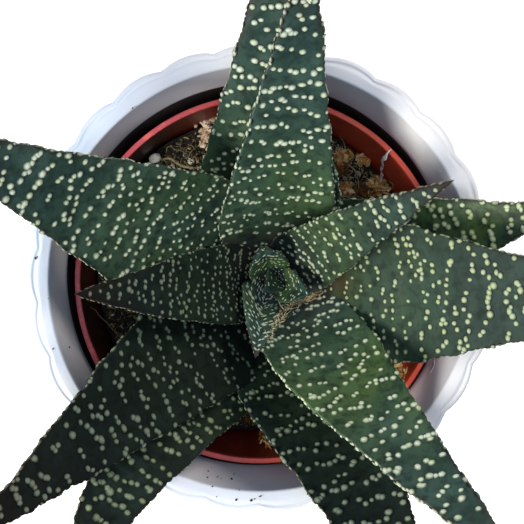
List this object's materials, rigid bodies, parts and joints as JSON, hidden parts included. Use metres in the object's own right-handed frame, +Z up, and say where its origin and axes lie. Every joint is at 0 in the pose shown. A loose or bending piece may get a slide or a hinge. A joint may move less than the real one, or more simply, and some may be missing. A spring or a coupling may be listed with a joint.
{
  "type": "potted haworthia",
  "caption": "Rosette succulent with thick tapering leaves beaded with white tubercles, in a nursery pot inside a white pot with a scalloped lip.",
  "frame": {"origin": "centre of the white pot's flat base, on the surface it stands on", "axes": "+Z up the pot's axis, +X to the right and +Y to the top of the picture"},
  "size_m": [0.2128, 0.2059, 0.2068],
  "materials": {
    "white_glaze": "gloss",
    "red_plastic": "satin",
    "soil": "matte",
    "stem": "matte",
    "leaf": "satin",
    "perlite": "matte",
    "bark": "matte"
  },
  "bodies": {
    "root": {"white_pot": "white_glaze", "nursery_pot": "red_plastic", "soil": "soil", "stem": "stem", "leaf_01": "leaf", "leaf_02": "leaf", "leaf_03": "leaf", "leaf_04": "leaf", "leaf_05": "leaf", "leaf_06": "leaf", "leaf_07": "leaf", "leaf_08": "leaf", "leaf_09": "leaf", "leaf_10": "leaf", "leaf_11": "leaf", "leaf_12": "leaf", "leaf_13": "leaf", "leaf_14": "leaf", "leaf_15": "leaf", "perlite_grain_1": "perlite", "perlite_grain_2": "perlite", "bark_chip_1": "bark", "bark_chip_2": "bark", "bark_chip_3": "bark", "bark_chip_4": "bark"}
  },
  "joints": []
}
